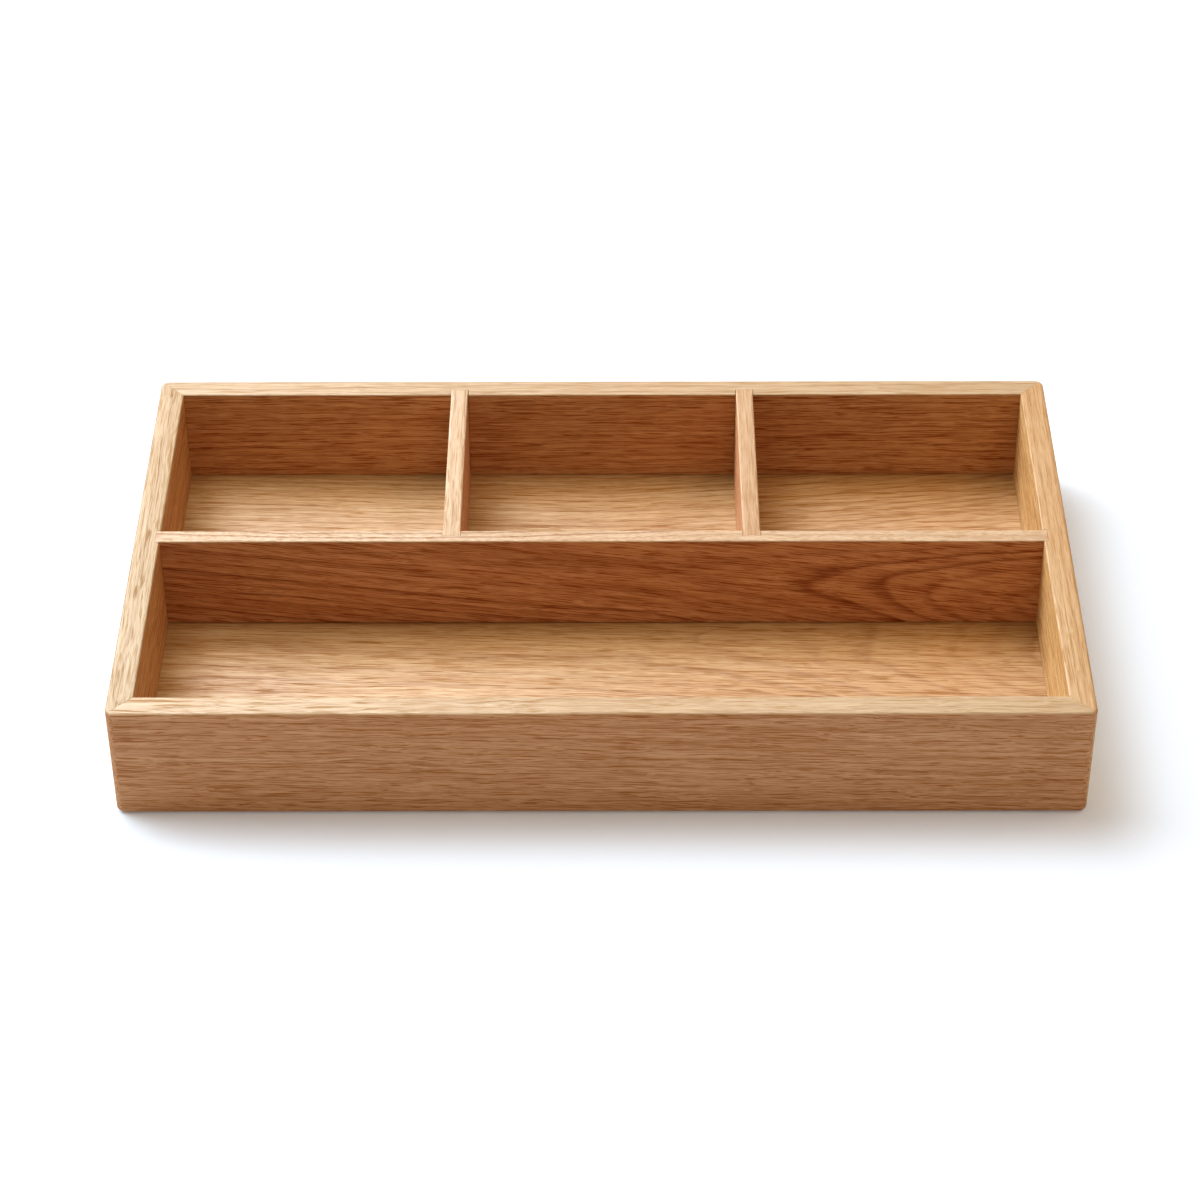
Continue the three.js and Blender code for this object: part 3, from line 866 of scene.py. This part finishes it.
# %% Radii and joints of the walls
CORNER_RADIUS = 3.0 * MM
RIM_RADIUS = 1.0 * MM
FOOT_RADIUS = 2.0 * MM
INNER_RADIUS = 0.6 * MM
FINE_RADIUS = 0.4 * MM
GLUE_LINE = 0.08 * MM
BASE_SEAM = 0.3 * MM
SWELLING_ROOM = 0.5 * MM
CUT_PAST = 1.0 * MM
TONGUE_SLOT = (6.2 * MM, 3.2 * MM)

groove_depth = panel_high.x - INNER_LENGTH / 2 + SWELLING_ROOM
groove_low, groove_high = panel_low.z - BASE_SEAM, panel_high.z + BASE_SEAM
groove_size = (groove_depth + CUT_PAST, groove_high - groove_low)
groove_middle = (0, WALL - groove_depth + groove_size[0] / 2, (groove_low + groove_high) / 2)
housing_low = (groove_low + groove_high) / 2
housing_height = HEIGHT - housing_low + CUT_PAST
housing_level = housing_low + housing_height / 2
short_spacing = -2 * short_middle.x
print(f"groove {groove_depth / MM:.1f} mm deep, housings open from {housing_low / MM:.1f} mm up")

# %% Make the four walls
def housing_sizes(count, first_x, face_y, spacing, depth):
    """Inputs for a row of housings that open at the rim and run down into the groove."""
    return {
        "Housings": count, "First housing": (first_x, face_y, housing_level), "Housing spacing": spacing,
        "Housing size": (DIVIDER + 2 * GLUE_LINE, 2 * (depth + GLUE_LINE), housing_height)}


no_housing = housing_sizes(0, 0.0, 0.0, 0.0, 0.0)
QUARTER = math.pi / 2
for node, span, middle, turn, housings in (
    ("front_wall", LENGTH, (0, -WIDTH / 2, 0), 0.0, no_housing),
    ("right_wall", WIDTH, (LENGTH / 2, 0, 0), QUARTER,
     housing_sizes(1, long_middle.y, WALL, 0.0, LONG_HOUSING)),
    ("back_wall", LENGTH, (0, WIDTH / 2, 0), 2 * QUARTER,
     housing_sizes(2, short_middle.x, WALL, short_spacing, SHORT_HOUSING)),
    ("left_wall", WIDTH, (-LENGTH / 2, 0, 0), -QUARTER,
     housing_sizes(1, -long_middle.y, WALL, 0.0, LONG_HOUSING)),
):
    make_board(node, wall_tree, {
        "Span": span, "Thickness": WALL, "Height": HEIGHT, "Middle": middle, "Turn": turn,
        "Corner radius": CORNER_RADIUS, "Rim radius": RIM_RADIUS, "Foot radius": FOOT_RADIUS,
        "Inner radius": INNER_RADIUS, "Fine radius": FINE_RADIUS, "Mitre gap": GLUE_LINE * math.sqrt(0.5),
        "Groove size": (span, *groove_size), "Groove middle": groove_middle,
        "Slot size": (*TONGUE_SLOT, tongue_high.z - tongue_low.z + 2 * GLUE_LINE),
        "Slot inset": tongue_middle.x - tray_low.x, "Slot middle": tongue_middle.z, **housings})

# %% [markdown]
# ## Dividers and base
#
# The three dividers stand on the base, and the base lies in the walls' groove. All four are one kind of
# board for the maker, planed to a thickness and cut to a length, so they come from one tree.

# %% Make the dividers and the base panel
divider = {
    "Thickness": DIVIDER - 2 * GLUE_LINE, "Foot": BASE_TOP + BASE_SEAM, "Top": HEIGHT,
    "Rim radius": INNER_RADIUS, "Foot radius": FINE_RADIUS}
make_board("long_divider", board_tree, {
    **divider, "Length": long_high.x - long_low.x, "Housed end": LONG_HOUSING,
    "Middle": (long_middle.x, long_middle.y, 0), "Turn": 0.0,
    **housing_sizes(2, short_middle.x, DIVIDER / 2, short_spacing, SHORT_HOUSING)})
for node, x in (("left_short_divider", short_middle.x), ("right_short_divider", -short_middle.x)):
    make_board(node, board_tree, {
        **divider, "Length": short_high.y - short_low.y, "Housed end": SHORT_HOUSING,
        "Middle": (x, short_middle.y, 0), "Turn": QUARTER, **no_housing})
make_board("base_panel", board_tree, {
    "Length": panel_high.x - panel_low.x, "Thickness": panel_high.y - panel_low.y,
    "Foot": panel_low.z, "Top": panel_high.z, "Rim radius": FINE_RADIUS, "Foot radius": FINE_RADIUS,
    "Housed end": groove_depth - SWELLING_ROOM,
    "Middle": (panel_middle.x, panel_middle.y, 0), "Turn": 0.0, **no_housing})

# %% [markdown]
# ## Hidden tongues
#
# A loose tongue keys each mitre inside. It is bare beech, planed and unfinished: pale, even wood that
# is freckled with short dark rays. It could be made again like the boards, but the frame's solids have
# the right shape and no edge of them shows, so they stay and only get this finish.

# %% Finish the tongues in beech
FRECKLE_SIZE = (0.5, 0.5, 2.0)
FRECKLE_SPAN = (0.1, 0.4)
FRECKLE_SHARE = 0.7
FRECKLE_DEPTH = 0.05 * MM
FRECKLE_RELIEF = 0.3
PLANED, ROUGH = 0.6, 0.8
BEECH_GRAIN = (4, 4, 60)
BEECH_PALE, BEECH_DEEP, FRECKLE_BROWN = (linear(tone) for tone in ("#dfc59d", "#d0b083", "#b58a5c"))

beech = bpy.data.materials.new("bare planed beech")
beech.use_nodes = True
tree = beech.node_tree
tree.nodes.clear()
place = add(tree, "ShaderNodeMapping", {
    "Vector": add(tree, "ShaderNodeTexCoord").outputs["Object"], "Scale": [1 / MM] * 3})
cells = add(tree, VECTOR_MATH, {0: place, 1: [1 / s for s in FRECKLE_SIZE]}, operation="MULTIPLY")
cells = add(tree, "ShaderNodeTexVoronoi", {"Vector": cells, "Scale": 1.0}).outputs["Distance"]
freckles = add(tree, RANGE, {
    "Value": cells, "From Min": FRECKLE_SPAN[0], "From Max": FRECKLE_SPAN[1],
    "To Min": FRECKLE_SHARE, "To Max": 0.0})
pale = clouds(tree, place, BEECH_GRAIN).outputs["Fac"]
pale = add(tree, MIX, {"Factor": pale, "A": BEECH_PALE, "B": BEECH_DEEP}, data_type="RGBA")
colour = add(tree, MIX, {"Factor": freckles, "A": pale, "B": FRECKLE_BROWN}, data_type="RGBA")
dullness = add(tree, RANGE, {"Value": freckles, "To Min": PLANED, "To Max": ROUGH})
relief = add(tree, "ShaderNodeBump", {
    "Strength": FRECKLE_RELIEF, "Distance": FRECKLE_DEPTH, "Height": freckles})
surface = add(tree, "ShaderNodeBsdfPrincipled", {
    "Base Color": colour, "Roughness": dullness, "Normal": relief})
add(tree, "ShaderNodeOutputMaterial", {"Surface": surface})
for corner in ("front_left", "front_right", "back_left", "back_right"):
    tongue = bpy.data.objects[f"{corner}_tongue"]
    tongue.data.materials.clear()
    tongue.data.materials.append(beech)
print("four tongues in beech")
